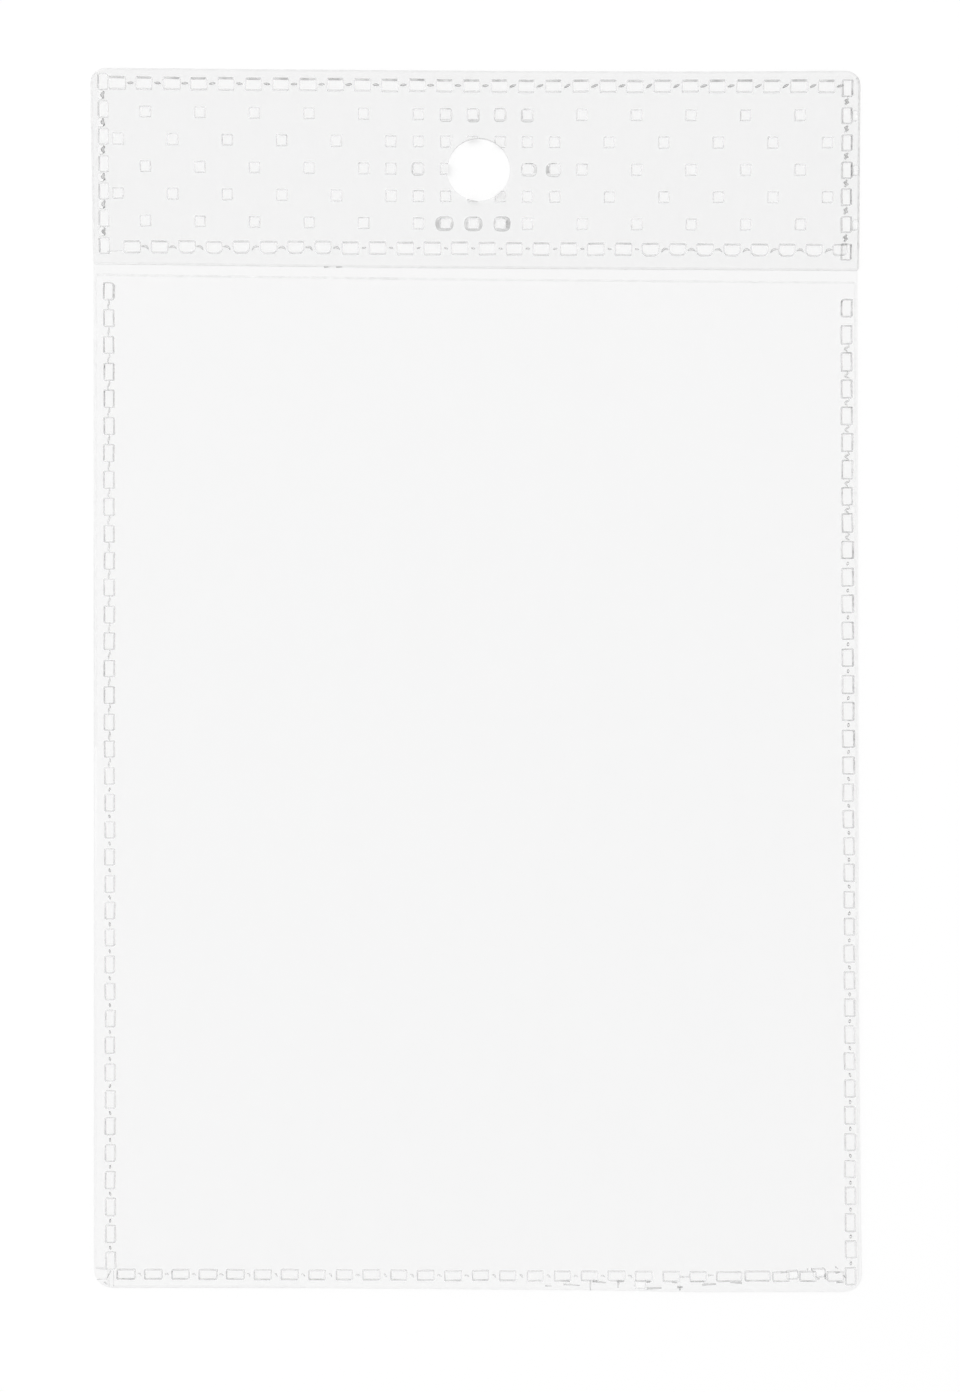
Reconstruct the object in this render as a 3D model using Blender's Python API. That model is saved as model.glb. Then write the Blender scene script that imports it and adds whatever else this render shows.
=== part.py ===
# Clear film pocket that keeps a hanging label clean.
# A back film carries a header strip with a hang hole and, below the open mouth, a front film. Rows of small
# welded pads hold the films together. The pocket lies on its back, with the header towards +Y.

import math

import bmesh
import bpy
from mathutils import Matrix

for old in list(bpy.data.objects):
    bpy.data.objects.remove(old, do_unlink=True)

# Films, in metres
SHEET_WIDTH = 0.116
SHEET_HEIGHT = 0.185
CORNER_RADIUS = 0.0018
BACK_THICKNESS = 0.0003
FRONT_THICKNESS = 0.0003
HEADER_THICKNESS = 0.0004
HEADER_HEIGHT = 0.0298
MOUTH_WIDTH = 0.0018
LABEL_GAP = 0.0004
UPPER_FILM_SETBACK = 0.0003

# Hang hole
HOLE_DIAMETER = 0.0095
HOLE_DROP = 0.015
HOLE_OFFSET = 0.0003

# Welded pads, and the ties that join them into a seam
PAD_LENGTH = 0.0025
PAD_WIDTH = 0.0016
PRESS_DEPTH = 0.0001
TIE_WIDTH = 0.0005
SIDE_TIE_LENGTH = 0.001585
BOTTOM_TIE_LENGTH = 0.00164
HEADER_TIE_LENGTH = 0.00164

# Film left outside each seam and below the mouth, and how far the left seam starts above the bottom one
LEFT_MARGIN = 0.0015
RIGHT_MARGIN = 0.0007
BOTTOM_MARGIN = 0.0013
MOUTH_MARGIN = 0.0004
LEFT_SEAM_RISE = 0.0022
HEADER_SIDE_MARGIN = 0.0007
HEADER_TOP_MARGIN = 0.0013
HEADER_LOWER_MARGIN = 0.0020

# Square spot welds of the header, staggered, with every place filled close to the hole
SPOT_SIZE = 0.0016
SPOT_OFFSET = -0.00054
SPOT_CLUSTER = 4

# Space that keeps solids apart
WELD_CLEARANCE = 0.00005
CORNER_CLEARANCE = 0.00015

# Faceting
CORNER_STEPS = 6
HOLE_STEPS = 48

# Levels of the stack, from the underside up
gap_floor = BACK_THICKNESS
upper_film_level = gap_floor + LABEL_GAP
weld_bottom = gap_floor + WELD_CLEARANCE
weld_top = upper_film_level - WELD_CLEARANCE
front_face = upper_film_level + FRONT_THICKNESS
header_face = upper_film_level + HEADER_THICKNESS

# Edges of the films
right_edge = SHEET_WIDTH / 2
top_edge = SHEET_HEIGHT / 2
upper_film_right = right_edge - UPPER_FILM_SETBACK
upper_film_radius = CORNER_RADIUS - UPPER_FILM_SETBACK
header_lower_edge = top_edge - HEADER_HEIGHT
mouth_edge = header_lower_edge - MOUTH_WIDTH

# Lines that the seams follow
side_pitch = PAD_LENGTH + SIDE_TIE_LENGTH
bottom_pitch = PAD_LENGTH + BOTTOM_TIE_LENGTH
header_pitch = PAD_LENGTH + HEADER_TIE_LENGTH
left_line = -right_edge + LEFT_MARGIN + PAD_WIDTH / 2
right_line = right_edge - RIGHT_MARGIN - PAD_WIDTH / 2
bottom_line = -top_edge + BOTTOM_MARGIN + PAD_WIDTH / 2
header_side_line = right_edge - HEADER_SIDE_MARGIN - PAD_WIDTH / 2
header_top_line = top_edge - HEADER_TOP_MARGIN - PAD_WIDTH / 2
header_lower_line = header_lower_edge + HEADER_LOWER_MARGIN + PAD_WIDTH / 2
row_setback = PAD_WIDTH / 2 + CORNER_CLEARANCE + PAD_LENGTH / 2
hole_y = top_edge - HOLE_DROP


def copies(first, last, pitch):
    """How many places a pitch apart fit from the first to the last."""
    return math.floor(abs(last - first) / pitch) + 1


def column(x, first_y, last_y, pitch):
    """Pad centres along a side seam, with the way that the seam runs."""
    way = math.copysign(1.0, last_y - first_y)
    centres = [(x, first_y + i * way * pitch) for i in range(copies(first_y, last_y, pitch))]
    return centres, way * math.pi / 2


def row(first_x, last_x, y, pitch):
    """Pad centres along a cross seam, with the way that the seam runs."""
    return [(first_x + i * pitch, y) for i in range(copies(first_x, last_x, pitch))], 0.0


def spot_centres():
    """Centres of the header's spot welds: every second place, all near the hole, none that the hole cuts."""
    reach = PAD_WIDTH / 2 + CORNER_CLEARANCE + SPOT_SIZE / 2
    columns = math.floor((header_side_line - reach - abs(SPOT_OFFSET)) / header_pitch)
    rows_up = math.floor((header_top_line - reach - hole_y) / header_pitch)
    rows_down = math.floor((hole_y - header_lower_line - reach) / header_pitch)
    clear_of_hole = HOLE_DIAMETER / 2 + CORNER_CLEARANCE + SPOT_SIZE / math.sqrt(2)
    found = []
    for j in range(-rows_down, rows_up + 1):
        for i in range(-columns, columns + 1):
            x = SPOT_OFFSET + i * header_pitch
            y = hole_y + j * header_pitch
            wanted = (i + j) % 2 == 0 or abs(i) + abs(j) <= SPOT_CLUSTER
            if wanted and math.hypot(x - HOLE_OFFSET, y - hole_y) > clear_of_hole:
                found.append((x, y))
    return found


def plastic(name, colour, roughness, alpha):
    """Clear plastic with the given tint."""
    material = bpy.data.materials.new(name)
    material.use_nodes = True
    shader = material.node_tree.nodes["Principled BSDF"]
    shader.inputs["Base Color"].default_value = (*colour, 1.0)
    shader.inputs["Metallic"].default_value = 0.0
    shader.inputs["Roughness"].default_value = roughness
    shader.inputs["Alpha"].default_value = alpha
    return material


def place(name, bm, material=None):
    """Turns the mesh into an object that is carried by the pocket's own empty."""
    bmesh.ops.recalc_face_normals(bm, faces=bm.faces)
    mesh = bpy.data.meshes.new(name)
    bm.to_mesh(mesh)
    bm.free()
    mesh.shade_smooth()
    mesh.set_sharp_from_angle(angle=math.radians(30))
    if material:
        mesh.materials.append(material)
    part = bpy.data.objects.new(name, mesh)
    bpy.context.scene.collection.objects.link(part)
    part.parent = pocket
    return part


def helper(name, bm):
    """A shape that only cuts or joins, and isn't part of the pocket."""
    tool = place(name, bm)
    tool.hide_render = True
    tool.display_type = "WIRE"
    return tool


def combine(part, operation, tool):
    """Cuts the tool out of the part, or joins it on."""
    step = part.modifiers.new(tool.name, "BOOLEAN")
    step.operation = operation
    step.solver = "EXACT"
    step.object = tool


def corner(bm, x, y, radius, start):
    """Vertices of one corner of a film, anticlockwise from the start angle: an arc, or one square point."""
    if radius <= 0:
        return [bm.verts.new((x, y, 0))]
    angles = [start + i * math.pi / 2 / CORNER_STEPS for i in range(CORNER_STEPS + 1)]
    return [bm.verts.new((x + radius * math.cos(a), y + radius * math.sin(a), 0)) for a in angles]


def thicken(bm, thickness):
    """Raises flat faces into a solid of one thickness."""
    raised = bmesh.ops.extrude_face_region(bm, geom=bm.faces[:])["geom"]
    lifted = [v for v in raised if isinstance(v, bmesh.types.BMVert)]
    bmesh.ops.translate(bm, verts=lifted, vec=(0, 0, thickness))


def film(name, half_width, low, high, low_radius, high_radius, level, thickness, material):
    """One cut sheet of film, lying at its level in the stack."""
    bm = bmesh.new()
    edge = corner(bm, half_width - low_radius, low + low_radius, low_radius, -math.pi / 2)
    edge += corner(bm, half_width - high_radius, high - high_radius, high_radius, 0.0)
    edge += corner(bm, high_radius - half_width, high - high_radius, high_radius, math.pi / 2)
    edge += corner(bm, low_radius - half_width, low + low_radius, low_radius, math.pi)
    bm.faces.new(edge)
    thicken(bm, thickness)
    sheet = place(name, bm, material)
    sheet.location.z = level
    return sheet


def add_block(bm, centre, size_x, size_y, low, high):
    """Adds one upright box to the mesh."""
    middle = Matrix.Translation((*centre, (low + high) / 2))
    bmesh.ops.create_cube(bm, size=1.0, matrix=middle @ Matrix.Diagonal((size_x, size_y, high - low, 1.0)))


def add_pad_blocks(bm, seam, low, high):
    """Adds a box at each pad of a seam, as long and as wide as the pad."""
    centres, turn = seam
    across = turn != 0.0
    size_x = PAD_WIDTH if across else PAD_LENGTH
    size_y = PAD_LENGTH if across else PAD_WIDTH
    for centre in centres:
        add_block(bm, centre, size_x, size_y, low, high)


def weld_seam(name, seam, pitch, material):
    """Pads and ties of one seam as a bar of fused plastic, drawn along +X from its first pad, then turned."""
    centres, turn = seam
    bm = bmesh.new()
    across = (-PAD_WIDTH / 2, -TIE_WIDTH / 2, TIE_WIDTH / 2, PAD_WIDTH / 2)
    tie_end = None
    for i in range(len(centres)):
        start = [bm.verts.new((i * pitch - PAD_LENGTH / 2, v, 0)) for v in across]
        end = [bm.verts.new((i * pitch + PAD_LENGTH / 2, v, 0)) for v in across]
        for k in range(len(across) - 1):
            bm.faces.new((start[k], end[k], end[k + 1], start[k + 1]))
        if tie_end:
            bm.faces.new((tie_end[0], start[1], start[2], tie_end[1]))
        tie_end = end[1:3]
    thicken(bm, weld_top - weld_bottom)
    bar = place(name, bm, material)
    bar.location = (*centres[0], weld_bottom)
    bar.rotation_euler.z = turn


pocket = bpy.data.objects.new("label_pocket", None)
bpy.context.scene.collection.objects.link(pocket)

# The seams of the pocket and of the header
seam_limit = mouth_edge - MOUTH_MARGIN - PAD_LENGTH / 2
left_seam = column(left_line, bottom_line + LEFT_SEAM_RISE, seam_limit, side_pitch)
right_seam = column(right_line, bottom_line, seam_limit, side_pitch)
bottom_seam = row(left_line + row_setback, right_line - row_setback, bottom_line, bottom_pitch)
row_start = row_setback - header_side_line
header_top_seam = row(row_start, -row_start, header_top_line, header_pitch)
header_lower_seam = row(row_start + header_pitch / 2, -row_start, header_lower_line, header_pitch)
header_left_seam = column(-header_side_line, header_top_line, header_lower_line, header_pitch)
header_right_seam = column(header_side_line, header_top_line, header_lower_line, header_pitch)
header_seams = (header_top_seam, header_lower_seam, header_left_seam, header_right_seam)

# The punch that goes through the header and the back film together
punch_length = 3 * header_face
bm = bmesh.new()
bmesh.ops.create_cone(
    bm,
    cap_ends=True,
    segments=HOLE_STEPS,
    radius1=HOLE_DIAMETER / 2,
    radius2=HOLE_DIAMETER / 2,
    depth=punch_length,
    matrix=Matrix.Translation((HOLE_OFFSET, hole_y, header_face / 2)),
)
punch = helper("hang_hole_punch", bm)

# Back film
back_plastic = plastic("back_film", (0.93, 0.94, 0.94), 0.18, 0.20)
back_sheet = film(
    "back_sheet",
    right_edge,
    -top_edge,
    top_edge,
    CORNER_RADIUS,
    CORNER_RADIUS,
    0.0,
    BACK_THICKNESS,
    back_plastic,
)
combine(back_sheet, "DIFFERENCE", punch)

# Front film, pressed in at each pad of the three pocket seams
front_plastic = plastic("front_film", (0.92, 0.93, 0.93), 0.15, 0.20)
front_sheet = film(
    "front_sheet",
    upper_film_right,
    UPPER_FILM_SETBACK - top_edge,
    mouth_edge,
    upper_film_radius,
    0.0,
    upper_film_level,
    FRONT_THICKNESS,
    front_plastic,
)
bm = bmesh.new()
for seam in (left_seam, right_seam, bottom_seam):
    add_pad_blocks(bm, seam, front_face - PRESS_DEPTH, front_face + PRESS_DEPTH)
combine(front_sheet, "DIFFERENCE", helper("pocket_seam_dies", bm))

# Header strip, pressed in at each pad and spot, with the spots reaching down to the back film
header_plastic = plastic("header_film", (0.88, 0.89, 0.89), 0.22, 0.30)
header_strip = film(
    "header_strip",
    upper_film_right,
    header_lower_edge,
    top_edge - UPPER_FILM_SETBACK,
    0.0,
    upper_film_radius,
    upper_film_level,
    HEADER_THICKNESS,
    header_plastic,
)
bm = bmesh.new()
for centre in spot_centres():
    add_block(bm, centre, SPOT_SIZE, SPOT_SIZE, weld_bottom, (upper_film_level + header_face) / 2)
combine(header_strip, "UNION", helper("spot_weld_feet", bm))
bm = bmesh.new()
for centre in spot_centres():
    add_block(bm, centre, SPOT_SIZE, SPOT_SIZE, header_face - PRESS_DEPTH, header_face + PRESS_DEPTH)
for seam in header_seams:
    add_pad_blocks(bm, seam, header_face - PRESS_DEPTH, header_face + PRESS_DEPTH)
combine(header_strip, "DIFFERENCE", helper("header_dies", bm))
combine(header_strip, "DIFFERENCE", punch)

# Weld seams
weld_colour = (0.95, 0.95, 0.95)
weld_seam("left_seam", left_seam, side_pitch, plastic("left_weld", weld_colour, 0.30, 0.5))
weld_seam("right_seam", right_seam, side_pitch, plastic("right_weld", weld_colour, 0.30, 0.5))
weld_seam("bottom_seam", bottom_seam, bottom_pitch, plastic("bottom_weld", weld_colour, 0.30, 0.5))
for seam_name, seam in zip(("top", "lower", "left", "right"), header_seams):
    seam_plastic = plastic(f"header_{seam_name}_weld", weld_colour, 0.30, 0.5)
    weld_seam(f"header_{seam_name}_seam", seam, header_pitch, seam_plastic)
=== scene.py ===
import math

import bmesh
import bpy
from mathutils import Matrix, Vector


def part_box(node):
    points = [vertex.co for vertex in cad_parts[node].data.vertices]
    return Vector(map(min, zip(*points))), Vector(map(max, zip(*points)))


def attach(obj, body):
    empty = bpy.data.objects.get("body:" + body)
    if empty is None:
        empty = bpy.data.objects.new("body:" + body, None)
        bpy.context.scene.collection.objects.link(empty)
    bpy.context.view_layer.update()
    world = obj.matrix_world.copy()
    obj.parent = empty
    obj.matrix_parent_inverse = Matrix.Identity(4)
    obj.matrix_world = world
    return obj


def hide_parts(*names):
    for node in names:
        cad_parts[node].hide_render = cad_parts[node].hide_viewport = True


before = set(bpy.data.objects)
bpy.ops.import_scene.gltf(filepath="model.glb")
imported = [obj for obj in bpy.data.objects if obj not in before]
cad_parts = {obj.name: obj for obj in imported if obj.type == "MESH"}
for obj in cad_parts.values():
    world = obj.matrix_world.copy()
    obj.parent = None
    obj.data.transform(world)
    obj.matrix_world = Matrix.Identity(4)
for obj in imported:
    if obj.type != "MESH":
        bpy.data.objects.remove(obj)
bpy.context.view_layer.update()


# Back sheet: the full-size clear vinyl film that the pocket and the header are welded to.
# It is die-cut with rounded corners, and like the real one it is a little out of square.
MM = 0.001  # lengths are in millimetres; the films' flat sizes and the softbox are in metres
BACK_LOW, BACK_HIGH = (corner.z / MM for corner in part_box("back_sheet"))
# Each corner's x, y and radius, then how much painted shade darkens the edge from it to the next
# one.
BACK_OUTLINE = (
    (-58.15, -92.25, 2.9, 0.06), (-26.0, -92.3, 200.0, 0.02), (19.0, -92.65, 200.0, 0.02),
    (34.0, -92.95, 200.0, 0.02), (58.6, -92.9, 2.7, 0.04), (58.4, -79.0, 200.0, 0.03),
    (58.12, -48.0, 200.0, 0.02), (57.87, 62.0, 200.0, 0.04), (58.3, 92.55, 2.2, 0.02),
    (35.0, 92.4, 200.0, 0.02), (4.0, 92.5, 200.0, 0.02), (-26.0, 92.7, 200.0, 0.02),
    (-58.65, 93.0, 2.3, 0.05), (-58.2, 62.0, 200.0, 0.07), (-58.15, -10.0, 200.0, 0.02))
BACK_EDGE_WIDTH = 0.22
BACK_TINT = (0.947, 0.947, 0.947, 1.0)
EDGE_DROP = 0.06
GRID_MARGIN = 3.15
# The dark colour that painted shade blends towards.
PAINTED_SHADE_GREY = (0.03, 0.03, 0.03, 1.0)
LAMP_LIGHT_PASSED = (0.99, 0.99, 0.99, 1.0)
VINYL_ROUGHNESS = (0.04, 0.1)
BLOTCH_SCALE, DRAG_SCALE, SPECK_SCALE, PATCH_SCALE = 70.0, 900.0, 2200.0, 750.0
DRAG_STRETCH = (1.0, 0.03, 1.0)
VINYL_IOR = 1.5
WAVE_STRENGTH, WAVE_HEIGHT = 0.04, 0.5


def fill(tree, node, values):
    """Sets a node's inputs by name, or links them where the value is another node's output."""
    for name, value in values.items():
        socket = next(s for s in node.inputs if name in (s.name, s.identifier) and s.enabled)
        if isinstance(value, bpy.types.NodeSocket):
            tree.links.new(value, socket)
        else:
            socket.default_value = value


def add(tree, kind, values=None, output=None, **settings):
    """Adds a node and returns one of its outputs, the first that is in use unless it is named."""
    node = tree.nodes.new(kind)
    for name, setting in settings.items():
        setattr(node, name, setting)
    fill(tree, node, values or {})
    return next((s for s in node.outputs if s.enabled and output in (None, s.name)), None)


def work_out(tree, operation, *terms):
    """One Math node on up to three numbers or outputs."""
    node = tree.nodes.new("ShaderNodeMath")
    node.operation = operation
    for socket, term in zip(node.inputs, terms):
        if isinstance(term, bpy.types.NodeSocket):
            tree.links.new(term, socket)
        else:
            socket.default_value = term
    return node.outputs[0]


def spread(tree, value, low, high, to_low, to_high):
    """Stretches a value from one range to another, and holds it there."""
    return add(tree, "ShaderNodeMapRange", {
        "Value": value, "From Min": low, "From Max": high, "To Min": to_low, "To Max": to_high})


def blend_colours(tree, factor, first, second, blend_type="MIX"):
    return add(tree, "ShaderNodeMix", {
        "Factor_Float": factor, "A_Color": first, "B_Color": second},
        data_type="RGBA", blend_type=blend_type)


def make_vinyl_look():
    """The surface of clear vinyl: faint blotches and drag lines, and painted shade on faces marked
    for it.
    """
    group = bpy.data.node_groups.new("vinyl_look", "ShaderNodeTree")
    for name, kind in (("Clear", "NodeSocketColor"), ("Grey", "NodeSocketColor"),
                       ("Blotch", "NodeSocketFloat"), ("Break", "NodeSocketFloat")):
        group.interface.new_socket(name, in_out="INPUT", socket_type=kind)
    for name, kind in (("Colour", "NodeSocketColor"), ("Roughness", "NodeSocketFloat"),
                       ("Height", "NodeSocketFloat")):
        group.interface.new_socket(name, in_out="OUTPUT", socket_type=kind)
    given = group.nodes.new("NodeGroupInput").outputs
    place = add(group, "ShaderNodeTexCoord", output="Object")
    blotch = add(group, "ShaderNodeTexNoise", {
        "Vector": place, "Scale": BLOTCH_SCALE, "Detail": 3.0})
    along = add(group, "ShaderNodeMapping", {"Vector": place, "Scale": DRAG_STRETCH})
    drag = add(group, "ShaderNodeTexNoise", {
        "Vector": along, "Scale": DRAG_SCALE, "Detail": 2.0})
    speck = add(group, "ShaderNodeTexNoise", {
        "Vector": place, "Scale": SPECK_SCALE, "Detail": 1.0})
    patch = add(group, "ShaderNodeTexNoise", {
        "Vector": place, "Scale": PATCH_SCALE, "Detail": 1.0})
    uneven = work_out(group, "MULTIPLY_ADD", drag, 0.4, blotch)
    tone = work_out(group, "SUBTRACT", 1.0, work_out(group, "MULTIPLY", uneven, given["Blotch"]))
    # Painted shade: marked faces are blended towards the dark colour, broken up by noise.
    shade_mask = add(group, "ShaderNodeAttribute", attribute_name="painted_shade", output="Fac")
    broken = work_out(group, "MULTIPLY", spread(group, speck, 0.35, 0.6, given["Break"], 1.0),
                      spread(group, patch, 0.3, 0.65, given["Break"], 1.25))
    clear = blend_colours(group, 1.0, given["Clear"], tone, "MULTIPLY")
    shown = blend_colours(group, work_out(group, "MULTIPLY", shade_mask, broken), clear, given["Grey"])
    rough = spread(group, drag, 0.3, 0.7, *VINYL_ROUGHNESS)
    fill(group, group.nodes.new("NodeGroupOutput"), {
        "Colour": shown, "Roughness": rough, "Height": blotch})
    return group


vinyl_look = make_vinyl_look()


def clear_vinyl(name, tint, blotch, breaks):
    """See-through vinyl. Blotch says how uneven it is, breaks how much painted shade is left at the
    least.

    Lamp light passes straight through it, so that the table under it stays lit.
    """
    material = bpy.data.materials.new(name)
    material.use_nodes = True
    tree = material.node_tree
    tree.nodes.clear()
    look = tree.nodes.new("ShaderNodeGroup")
    look.node_tree = vinyl_look
    fill(tree, look, {"Clear": tint, "Grey": PAINTED_SHADE_GREY, "Blotch": blotch, "Break": breaks})
    waves = add(tree, "ShaderNodeBump", {
        "Height": look.outputs["Height"], "Strength": WAVE_STRENGTH, "Distance": WAVE_HEIGHT * MM})
    film = add(tree, "ShaderNodeBsdfPrincipled", {
        "Base Color": look.outputs["Colour"], "Roughness": look.outputs["Roughness"],
        "Normal": waves, "IOR": VINYL_IOR, "Transmission Weight": 1.0})
    passed = add(tree, "ShaderNodeBsdfTransparent", {"Color": LAMP_LIGHT_PASSED})
    rays = tree.nodes.new("ShaderNodeLightPath").outputs
    lit = work_out(tree, "MAXIMUM", rays["Is Shadow Ray"], rays["Is Diffuse Ray"])
    surface = add(tree, "ShaderNodeMixShader", {
        "Fac": lit, "Shader": film, "Shader_001": passed})
    add(tree, "ShaderNodeOutputMaterial", {"Surface": surface})
    return material


def rounded_outline(outline, steps=5):
    """The points round a sheet whose corners are cut to their radii."""
    points = []
    for i, (x, y, radius, _) in enumerate(outline):
        here = Vector((x, y))
        back = (Vector(outline[i - 1][:2]) - here).normalized()
        ahead = (Vector(outline[(i + 1) % len(outline)][:2]) - here).normalized()
        half = back.angle(ahead) / 2
        centre = here + (back + ahead).normalized() * radius / math.sin(half)
        start = here + back * radius / math.tan(half) - centre
        end = here + ahead * radius / math.tan(half) - centre
        points += [centre + start.slerp(end, k / steps) * radius for k in range(steps + 1)]
    return points


def painted_edge_shade(point, outline):
    """How much painted shade the edge that a point lies by is given."""
    def distance(i):
        start, end = Vector(outline[i][:2]), Vector(outline[(i + 1) % len(outline)][:2])
        along = (point - start).dot(end - start) / (end - start).length_squared
        return (start.lerp(end, min(1.0, max(0.0, along))) - point).length
    return outline[min(range(len(outline)), key=distance)][3]


def show(name, bm):
    """Makes a mesh in millimetres an object in metres."""
    bmesh.ops.scale(bm, vec=(MM, MM, MM), verts=bm.verts)
    mesh = bpy.data.meshes.new(name)
    bm.to_mesh(mesh)
    bm.free()
    made = bpy.data.objects.new(name, mesh)
    bpy.context.scene.collection.objects.link(made)
    return made


def film_sheet(name, outline, low, high, edge_width, across, up):
    """A closed sheet of film in that many strips across and up, with painted shade along the edge.
    """
    bm = bmesh.new()
    painted_shade = bm.faces.layers.float.new("painted_shade")
    sheet = bm.faces.new([
        bm.verts.new((x, y, high)) for x, y in rounded_outline(outline)])
    sheet.normal_update()
    rim = bmesh.ops.inset_region(
        bm, faces=[sheet], thickness=edge_width, use_boundary=True, use_even_offset=True)["faces"]
    # Painted shade on the rim, as much as the nearest side of the outline is given.
    for face in rim:
        face[painted_shade] = painted_edge_shade(face.calc_center_median().to_2d(), outline)
    for vert in bm.verts:
        if vert.is_boundary:
            vert.co.z -= EDGE_DROP
    for way, axis, strips in ((0, Vector((1, 0, 0)), across), (1, Vector((0, 1, 0)), up)):
        places = [corner[way] for corner in outline]
        first, last = min(places) + GRID_MARGIN, max(places) - GRID_MARGIN
        for i in range(strips + 1):
            bmesh.ops.bisect_plane(
                bm, geom=bm.verts[:] + bm.edges[:] + bm.faces[:],
                plane_co=axis * (first + (last - first) * i / strips), plane_no=axis)
    lowered = bmesh.ops.extrude_face_region(bm, geom=bm.faces[:])["geom"]
    for vert in lowered:
        if isinstance(vert, bmesh.types.BMVert):
            vert.co.z = low
    bmesh.ops.recalc_face_normals(bm, faces=bm.faces)
    return show(name, bm)


def lay(film, node):
    """Makes a film stand for its CAD node, as a loose sheet that lies flat."""
    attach(film, "root")
    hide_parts(node)


back_sheet = film_sheet(
    "back_film", BACK_OUTLINE, BACK_LOW, BACK_HIGH, BACK_EDGE_WIDTH, across=14, up=22)
back_sheet.data.materials.append(clear_vinyl("back_vinyl", BACK_TINT, blotch=0.004, breaks=0.6))
lay(back_sheet, "back_sheet")


# Front sheet: the pocket's clear front, cut shorter than the back so that its upper edge
# is the mouth. It is held on three sides only, so it stands a little off the back sheet.
FRONT_LOW, FRONT_HIGH = (corner.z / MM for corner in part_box("front_sheet"))
FRONT_OUTLINE = (
    (-55.9, -92.05, 0.5, 0.05), (-26.0, -92.15, 200.0, 0.02), (19.0, -92.45, 200.0, 0.02),
    (34.0, -92.7, 200.0, 0.02), (58.1, -92.6, 2.6, 0.05), (58.05, -79.0, 200.0, 0.05),
    (57.82, -40.0, 200.0, 0.05), (57.55, 60.5, 0.5, 0.08), (4.0, 60.83, 200.0, 0.08),
    (-12.0, 61.05, 200.0, 0.14), (-57.9, 61.72, 0.5, 0.08), (-57.87, -10.0, 200.0, 0.02),
    (-57.9, -89.25, 0.5, 0.16), (-56.1, -89.35, 0.15, 0.08))
FRONT_EDGE_WIDTH = 0.34
FRONT_TINT = (0.998, 0.998, 0.998, 1.0)
FRONT_HELD_SIDE, FRONT_HELD_BOTTOM = 51.5, -86.0
FRONT_RISE, FRONT_RISE_LENGTH = 0.8, 60.0
RIPPLE_HEIGHT, RIPPLE_WIDTH, RIPPLE_LENGTH, RIPPLE_LEAN = 0.12, 9.0, 17.0, 0.35


def puff(x, y):
    """How far the loose front stands off the back: nothing at the welds, most below the mouth."""
    across = min(1.0, abs(x) / FRONT_HELD_SIDE)
    up = max(0.0, min(1.0, (y - FRONT_HELD_BOTTOM) / FRONT_RISE_LENGTH))
    hold = (1 - across ** 2) ** 2 * up ** 2 * (3 - 2 * up)
    ripple = (math.sin((x + RIPPLE_LEAN * y) / RIPPLE_WIDTH)
              * math.sin((y - RIPPLE_LEAN * x) / RIPPLE_LENGTH))
    return hold * (FRONT_RISE + RIPPLE_HEIGHT * ripple)


front_sheet = film_sheet(
    "front_film", FRONT_OUTLINE, FRONT_LOW, FRONT_HIGH, FRONT_EDGE_WIDTH, across=22, up=30)
front_sheet.data.materials.append(
    clear_vinyl("front_vinyl", FRONT_TINT, blotch=0.002, breaks=0.6))
for vert in front_sheet.data.vertices:
    vert.co.z += puff(vert.co.x / MM, vert.co.y / MM) * MM
lay(front_sheet, "front_sheet")


# Header strip: a second layer of stiffer vinyl across the top, punched for a hook and tacked
# to the back sheet all over by small square spot welds, which are pressed from its own film.
HEADER_LOW, HEADER_HIGH = FRONT_LOW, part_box("header_strip")[1].z / MM
HEADER_OUTLINE = (
    (-58.15, 63.18, 0.45, 0.075), (-10.0, 62.6, 200.0, 0.09), (40.0, 62.27, 200.0, 0.075),
    (58.05, 62.17, 0.45, 0.22), (58.25, 92.5, 2.2, 0.05), (35.0, 92.35, 200.0, 0.05),
    (4.0, 92.45, 200.0, 0.05), (-26.0, 92.65, 200.0, 0.05), (-58.6, 92.95, 2.3, 0.1))
HEADER_EDGE_WIDTH = 0.34
HEADER_TINT = (0.966, 0.966, 0.966, 1.0)
HOLE_CENTRE = (0.3, 77.5)
HOLE_RADIUS = 4.75
CUTTER_TOP, CUTTER_HEIGHT, CUTTER_PEAK, CUTTER_WALL = 2.0, 3.0, 0.1, 0.02
CUTTER_CLEARANCE = 0.004
SPOT_TINT = (0.94, 0.94, 0.94, 1.0)
SPOT_TILT, SPOT_LEAN, SPOT_BEND = math.radians(-0.33), -0.0086, 0.000068
PITCH = 4.14
SMALLEST_PAD, LARGEST_PAD = (0.96, 0.96, 1.0), (1.03, 1.03, 1.0)
PAD_SIDES = ("Upper", "Lower", "Start", "Finish")
PAD_INPUTS = (
    "Length", "Width", "Depth", "Height", "Upper Corner", "Lower Corner",
    *(side + " Wall" for side in PAD_SIDES), *(side + " Grey" for side in PAD_SIDES))


def geometry_tree(name, inputs):
    """A new Geometry Nodes tree with those inputs, all in millimetres, and one output."""
    tree = bpy.data.node_groups.new(name, "GeometryNodeTree")
    for label, kind in inputs:
        tree.interface.new_socket(label, in_out="INPUT", socket_type="NodeSocket" + kind)
    tree.interface.new_socket("Geometry", in_out="OUTPUT", socket_type="NodeSocketGeometry")
    return tree, tree.nodes.new("NodeGroupInput").outputs


def put_out(tree, geometry):
    fill(tree, tree.nodes.new("NodeGroupOutput"), {"Geometry": geometry})


def vector(tree, x=0.0, y=0.0, z=0.0):
    return add(tree, "ShaderNodeCombineXYZ", {"X": x, "Y": y, "Z": z})


def axes_of(tree, place):
    """The x and y of a place."""
    axes = tree.nodes.new("ShaderNodeSeparateXYZ")
    fill(tree, axes, {"Vector": place})
    return axes.outputs["X"], axes.outputs["Y"]


def pick(tree, test, when_false, when_true):
    return add(tree, "GeometryNodeSwitch", {
        "Switch": test, "False": when_false, "True": when_true}, input_type="FLOAT")


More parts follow.
